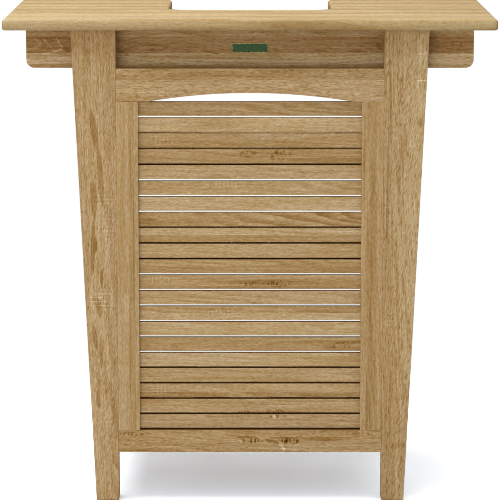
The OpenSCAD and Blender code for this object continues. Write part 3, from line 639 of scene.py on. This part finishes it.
# Apron beams: two teak beams across the legs, front and rear, that carry the counter
# and its overhang. Their lower corners are rounded. Bolts hold them to the legs.
WALNUT = tone(154, 120, 77)
board(
    "front_apron_beam", "xzy", ((STRAW, 0.36), (WALNUT, 0.77), (TAN, 1.0)), 91.0, veins=0.8, fibre=0.75,
    knots=((-0.455, 0.012, 0.030, 0.014, 0.0, 0.4), (0.452, 0.010, 0.030, 0.010, 0.0, 0.4)),
    marks=(
        (-0.239, 0.0206, 0.037, 0.0018, 0.05, 0.6), (-0.157, 0.0126, 0.020, 0.0016, 0.0, 0.7),
        (-0.120, 0.0075, 0.026, 0.0018, -0.15, 0.8), (-0.257, 0.0016, 0.026, 0.0018, 0.32, 0.8),
        (-0.207, 0.0060, 0.035, 0.0020, 0.02, 0.8), (-0.280, -0.0082, 0.009, 0.0035, 0.30, 1.1),
        (-0.209, -0.0049, 0.026, 0.0044, 0.0, 0.6), (-0.157, -0.0027, 0.035, 0.0020, -0.10, 0.7),
        (-0.085, -0.0099, 0.022, 0.0028, -0.16, 1.1), (-0.237, -0.0119, 0.046, 0.0015, 0.0, 0.5),
        (0.152, -0.0071, 0.017, 0.0032, 0.0, 0.8), (0.233, -0.0071, 0.024, 0.0038, -0.05, 0.9),
        (0.185, 0.0187, 0.057, 0.0020, 0.0, 0.5), (0.281, 0.0049, 0.010, 0.0088, -0.30, 1.0),
        (0.446, 0.0126, 0.039, 0.0024, 0.0, 0.7), (-0.398, -0.0049, 0.013, 0.0066, -0.10, 1.2),
        # Below, the full-length mark along the lower edge is a painted shadow, where the top rail in front
        # shades the beam's foot
        (-0.468, -0.0082, 0.024, 0.0024, 0.0, 0.8), (0.0, -0.0440, 1.500, 0.0100, 0.0, 0.9),
        (-0.440, 0.0060, 0.062, 0.0190, 0.0, 0.4), (0.445, 0.0060, 0.062, 0.0190, 0.0, 0.45),
    ),
    pales=(
        (-0.466, 0.0169, 0.006, 0.0026, -0.90, 1.4), (-0.457, 0.0093, 0.004, 0.0028, 0.80, 1.4),
        (-0.465, 0.0016, 0.009, 0.0020, 0.30, 1.1), (-0.446, 0.0158, 0.007, 0.0026, -0.80, 1.5),
        (-0.437, 0.0049, 0.007, 0.0026, -1.00, 1.5), (-0.418, 0.0169, 0.005, 0.0031, -1.30, 1.4),
        (-0.413, 0.0060, 0.007, 0.0028, -1.00, 1.6), (-0.421, -0.0066, 0.015, 0.0022, 0.32, 1.6),
        (-0.443, -0.0119, 0.011, 0.0020, 0.05, 1.2), (-0.473, -0.0014, 0.017, 0.0017, 0.0, 1.1),
        (0.194, 0.0008, 0.059, 0.0015, 0.0, 0.7), (0.258, -0.0071, 0.003, 0.0040, -0.90, 1.0),
        (0.414, 0.0158, 0.007, 0.0024, -0.50, 0.7),
    ),
)
board("rear_apron_beam", "xzy", ((HONEY, 0.4), (TAN, 1.0)), 92.0, veins=0.8)


def metal(name, bright, dull, fine, smooth, rough):
    """Bare metal that has dulled in patches, each patch also rougher."""
    made, tree, skin = new_finish(name)
    spot = add(tree, "TexCoord").outputs["Object"]
    patches = add(tree, "TexNoise", {"Vector": spot, "Scale": fine, "Detail": 4.0}).outputs["Fac"]
    colour = blend(tree, "MIX", between(tree, patches, 0.4, 0.65), bright, dull)
    tree.links.new(colour, skin.inputs["Base Color"])
    tree.links.new(between(tree, patches, 0.35, 0.7, smooth, rough), skin.inputs["Roughness"])
    skin.inputs["Metallic"].default_value = 1.0
    return made


steel = metal("plated_steel", tone(196, 198, 200), tone(158, 158, 156), 260.0, 0.28, 0.5)
dress("beam_bolts", steel)


# Plate: a small blank plate, bonded to the front beam between the legs. A satin brass
# rim with round corners stands round a field of dark green enamel.
PLATE_WIDE, PLATE_HIGH, PLATE_CORNER = 0.0805, 0.0215, 0.0016
RIM_WIDE, RIM_PROUD, RIM_EASE = 0.0023, 0.0016, 0.0004
FIELD_PROUD, FIELD_CROWN, FIELD_SLOPE = 0.0009, 0.0001, 0.0012
TIGHTEST_CORNER, CORNER_STEPS = 0.0004, 6
beam_low, beam_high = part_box("front_apron_beam")
plate_middle = (beam_low.z + beam_high.z) / 2


def plate_loop(mesh, inset, proud):
    """Points round the plate, so far in from its edge and so far out from the beam."""
    corner = max(PLATE_CORNER - inset, TIGHTEST_CORNER)
    loop = []
    for quarter in range(4):
        right = 1 if quarter in (0, 3) else -1
        upper = 1 if quarter < 2 else -1
        middle_x = right * (PLATE_WIDE / 2 - inset - corner)
        middle_z = plate_middle + upper * (PLATE_HIGH / 2 - inset - corner)
        for step in range(CORNER_STEPS + 1):
            angle = math.pi / 2 * (quarter + step / CORNER_STEPS)
            x = middle_x + corner * math.cos(angle)
            z = middle_z + corner * math.sin(angle)
            loop.append(mesh.verts.new((x, beam_low.y - proud, z)))
    return loop


def bridge(mesh, loops):
    """Faces from each loop of points to the next."""
    for one, other in zip(loops, loops[1:]):
        for spot in range(len(one)):
            after = (spot + 1) % len(one)
            mesh.faces.new((one[spot], other[spot], other[after], one[after]))


rim = bmesh.new()
rim_loops = [plate_loop(rim, inset, proud) for inset, proud in (
    (0.0, 0.0), (0.0, RIM_PROUD - RIM_EASE), (RIM_EASE, RIM_PROUD),
    (RIM_WIDE - RIM_EASE, RIM_PROUD), (RIM_WIDE, RIM_PROUD - RIM_EASE), (RIM_WIDE, 0.0),
)]
bridge(rim, rim_loops + rim_loops[:1])
bmesh.ops.recalc_face_normals(rim, faces=rim.faces)
brass = metal("satin_brass", tone(146, 134, 82), tone(108, 98, 54), 420.0, 0.36, 0.55)
new_piece("blank_plate_rim", rim, brass)


def enamel(name):
    """Dark green enamel fired on the plate: it pools darker in places and shines softly."""
    made, tree, skin = new_finish(name)
    spot = add(tree, "TexCoord").outputs["Object"]
    pooled = add(tree, "TexNoise", {"Vector": spot, "Scale": 190.0, "Detail": 3.0}).outputs["Fac"]
    orange_peel = add(tree, "TexNoise", {"Vector": spot, "Scale": 900.0, "Detail": 2.0}).outputs["Fac"]
    colour = blend(tree, "MIX", between(tree, pooled, 0.35, 0.65), tone(46, 82, 36), tone(34, 64, 25))
    tree.links.new(colour, skin.inputs["Base Color"])
    tree.links.new(between(tree, pooled, 0.3, 0.7, 0.24, 0.36), skin.inputs["Roughness"])
    relief = add(tree, "Bump", {"Height": orange_peel, "Strength": 0.2, "Distance": 0.0002})
    tree.links.new(relief.outputs[0], skin.inputs["Normal"])
    skin.inputs["Specular IOR Level"].default_value = 0.22
    return made


field = bmesh.new()
field_loops = [plate_loop(field, RIM_WIDE, proud) for proud in (0.0, FIELD_PROUD)]
field_loops.append(plate_loop(field, RIM_WIDE + FIELD_SLOPE, FIELD_PROUD + FIELD_CROWN))
bridge(field, field_loops)
field.faces.new(field_loops[0])
field.faces.new(field_loops[2])
bmesh.ops.recalc_face_normals(field, faces=field.faces)
new_piece("blank_plate_field", field, enamel("green_enamel"))


# Battens: four lengths of teak under the counter, laid front to back. Steel screws
# pass up through them into every plank and hold the counter flat.
board("counter_battens", "yxz", ((TAN, 1.0),), 95.0)
dress("batten_screws", steel)


# Counter: planks from side to side, three in full length and four in each wing beside
# the cut-out, dowelled edge to edge with open joints, their outer edges rounded over.
WHEAT = tone(182, 158, 116)
BUFF = tone(177, 152, 108)
OAT = tone(173, 147, 103)
FRONT_PLANKS = (
    (((WHEAT, 0.35), (BUFF, 1.0)), {"dark_band": 0.2, "fibre": 0.5, "pores": 0.5, "figure": 0.4}),
    (((WHEAT, 0.6), (BUFF, 1.0)), {"dark_band": 0.5, "fibre": 0.8}),
    (((BUFF, 0.5), (WHEAT, 1.0)), {"dark_band": 1.0, "fibre": 0.8}),
)
WING_PLANKS = (
    ((OAT, 0.5), (BUFF, 1.0)), ((BUFF, 0.6), (OAT, 1.0)), ((OAT, 1.0),), ((OAT, 0.4), (BUFF, 1.0)),
)
# Each plank's top is painted darker beside its joints, and the plank darker towards its lower face: painted
# shade
for number, (strips, looks) in enumerate(FRONT_PLANKS, start=1):
    board(f"front_plank_{number}", "xyz", strips, 101.0 + 1.7 * number, veins=1.2, dark_low=0.3, **looks)
for side in ("left", "right"):
    for number, strips in enumerate(WING_PLANKS, start=1):
        seed = 111.0 + 1.3 * number + 9 * (side == "right")
        board(
            f"{side}_wing_plank_{number}", "xyz", strips, seed,
            veins=1.2, fibre=0.8, dark_band=0.5, dark_low=0.3,
        )
board("counter_dowels", "yxz", ((HONEY, 1.0),), 97.0)


# Stage: a pale floor, plain soft light, and the camera a few steps back from the
# guests' side, a little above the counter.
WHITE = (1.0, 1.0, 1.0, 1.0)
BLACK = (0.0, 0.0, 0.0, 1.0)
# The grey by which the floor lights the bar; the paint and the glow that the camera
# sees close to the bar, and how far from its middle they begin to fade and are gone
FLOOR_GREY = (0.8, 0.8, 0.8, 1.0)
SEEN_PAINT = (1.48, 1.58, 1.68, 1.0)
SEEN_GLOW = (0.21, 0.22, 0.24, 1.0)
CLOSE_ENDS, FAR_STARTS = 0.6, 1.1
STUDIO_LIGHT = 0.62


def looked_at(tree):
    """1 for what the camera sees straight, in metal or through glass; 0 for the light
    that falls on other things."""
    path = add(tree, "LightPath").outputs
    seen = sums(tree, "MAXIMUM", path["Is Camera Ray"], path["Is Transmission Ray"])
    return sums(tree, "MAXIMUM", seen, path["Is Glossy Ray"])


def floor_paint():
    """Matt white, lifted for the camera so that only the shadow under the bar shows.
    Close to the bar it is also cooled against the wood's warm light, and further off
    it is plain white."""
    made, tree, _ = new_finish("floor_paint")
    tree.nodes.clear()
    seen = looked_at(tree)
    spot = add(tree, "TexCoord").outputs["Object"]
    far = add(tree, "VectorMath", {0: spot}, operation="LENGTH").outputs["Value"]
    close = between(tree, far, FAR_STARTS, CLOSE_ENDS)
    lifted = blend(tree, "MIX", close, BLACK, SEEN_PAINT)
    paint = add(tree, "BsdfDiffuse", {"Color": blend(tree, "MIX", seen, FLOOR_GREY, lifted)})
    shine = blend(tree, "MIX", close, WHITE, SEEN_GLOW)
    glow = add(tree, "Emission", {"Color": shine, "Strength": seen})
    both = add(tree, "AddShader", {0: paint.outputs[0], 1: glow.outputs[0]})
    add(tree, "OutputMaterial", {"Surface": both.outputs[0]})
    return made


floor_mesh = bpy.data.meshes.new("floor")
floor_mesh.from_pydata([(-7, -7, 0), (7, -7, 0), (7, 3, 0), (-7, 3, 0)], [], [(0, 1, 2, 3)])
floor_mesh.materials.append(floor_paint())
put("floor", floor_mesh)

scene = bpy.context.scene
scene.world = bpy.data.worlds.new("studio")
scene.world.use_nodes = True
sky = scene.world.node_tree
back = sky.nodes["Background"]
back.inputs["Color"].default_value = WHITE
sky.links.new(between(sky, looked_at(sky), 0.0, 1.0, STUDIO_LIGHT, 1.0), back.inputs["Strength"])


def soft_lamp(name, place, aim, size, watts):
    """A square lamp so many metres wide, turned towards its aim."""
    light = bpy.data.lights.new(name, "AREA")
    light.size = size
    light.energy = watts
    made = put(name, light)
    made.location = place
    made.rotation_euler = (Vector(aim) - Vector(place)).to_track_quat("-Z", "Y").to_euler()


soft_lamp("overhead", (-0.9, 0.1, 3.6), (0, 0, 0.8), 3.6, 104)
soft_lamp("front", (-1.6, -4.6, 1.1), (0, 0, 0.8), 2.4, 58)

# The camera stands in front of the middle, and looks down by what is short of 90 degrees
SENSOR_WIDE, LENS_LONG = 36, 197.06
CAMERA_PLACE = (0, -6.1705, 1.5809)
CAMERA_PITCH = 80.235
scene.view_settings.view_transform = "Standard"
scene.cycles.filter_width = 1.0
view = bpy.data.cameras.new("view")
view.sensor_width = SENSOR_WIDE
view.lens = LENS_LONG
camera = put("camera", view)
camera.location = CAMERA_PLACE
camera.rotation_euler = (math.radians(CAMERA_PITCH), 0, 0)
scene.camera = camera
